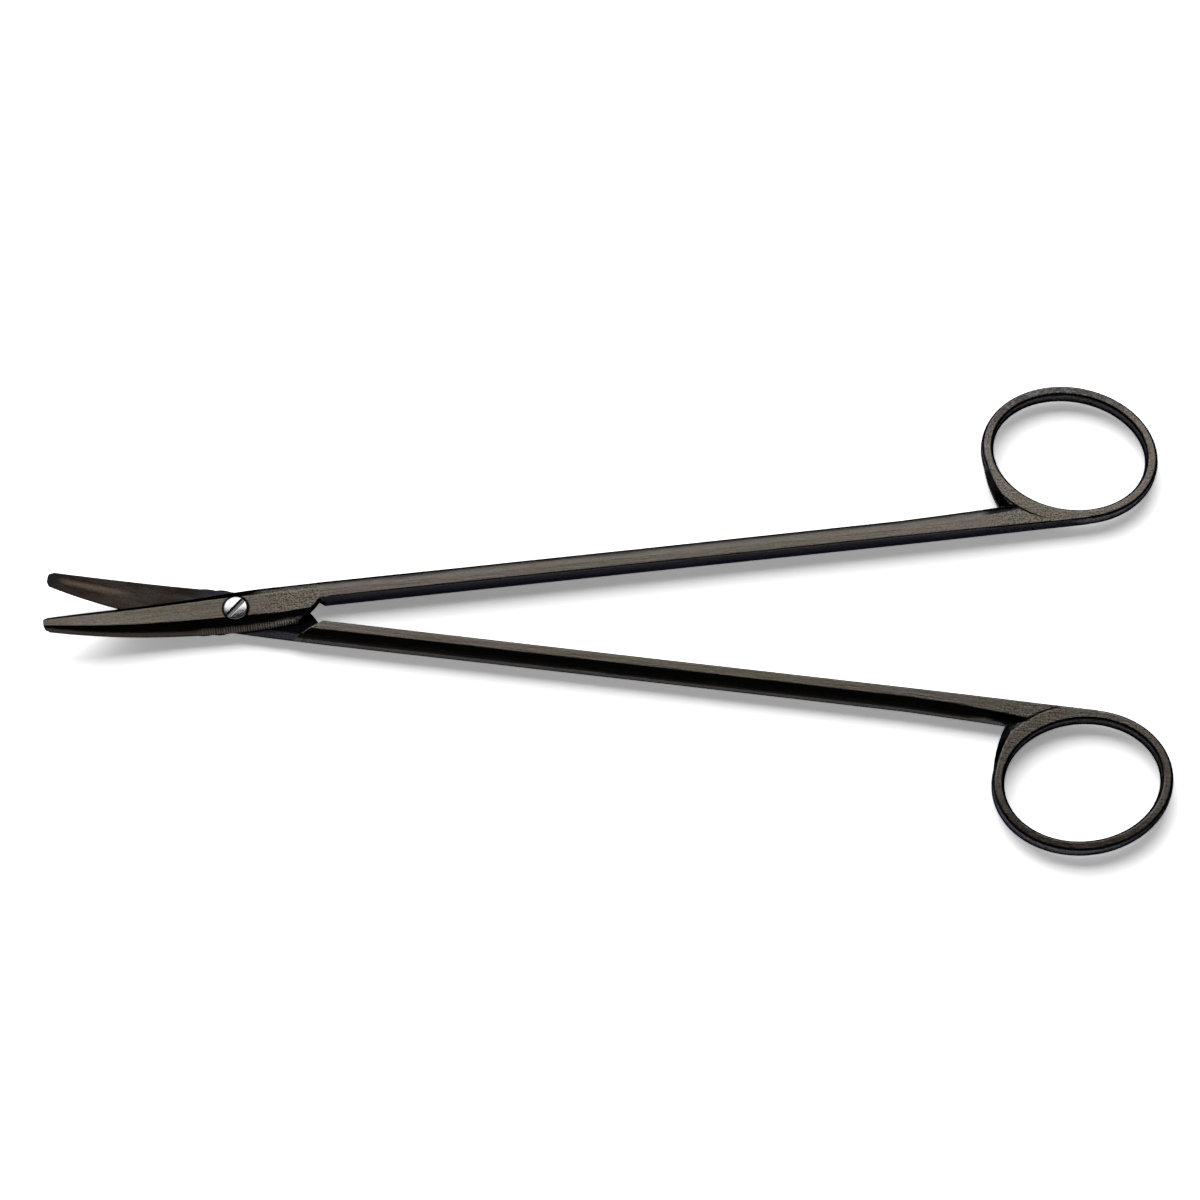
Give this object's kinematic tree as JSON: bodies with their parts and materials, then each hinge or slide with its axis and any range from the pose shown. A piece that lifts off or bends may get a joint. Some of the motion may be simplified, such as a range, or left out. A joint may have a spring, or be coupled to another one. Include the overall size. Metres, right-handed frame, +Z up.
{
  "type": "dissecting scissors",
  "caption": "Long slender dissecting scissors with short curved blades, dark satin halves, oval finger rings and a slotted pivot screw.",
  "frame": {"origin": "centre of the part's footprint, on the surface that the scissors lie on", "axes": "+X along the length from the blade tips to the finger rings, +Y across towards the front half's ring, +Z up, the way the blades curve and the screw head faces"},
  "size_m": [0.1978, 0.0888, 0.0084],
  "materials": {
    "coated_steel": "dark satin coating over finely brushed steel",
    "screw_steel": "bright polished steel"
  },
  "bodies": {
    "rear": {"rear_half": "coated_steel", "pivot_screw": "screw_steel"},
    "front": {"front_half": "coated_steel"}
  },
  "joints": [
    {"name": "pivot", "type": "hinge", "parent": "rear", "child": "front", "pos_m": [-0.06551, 0, 0.0022], "axis": [0, 0, 1], "range_deg": [-13.4, 41.5]}
  ]
}
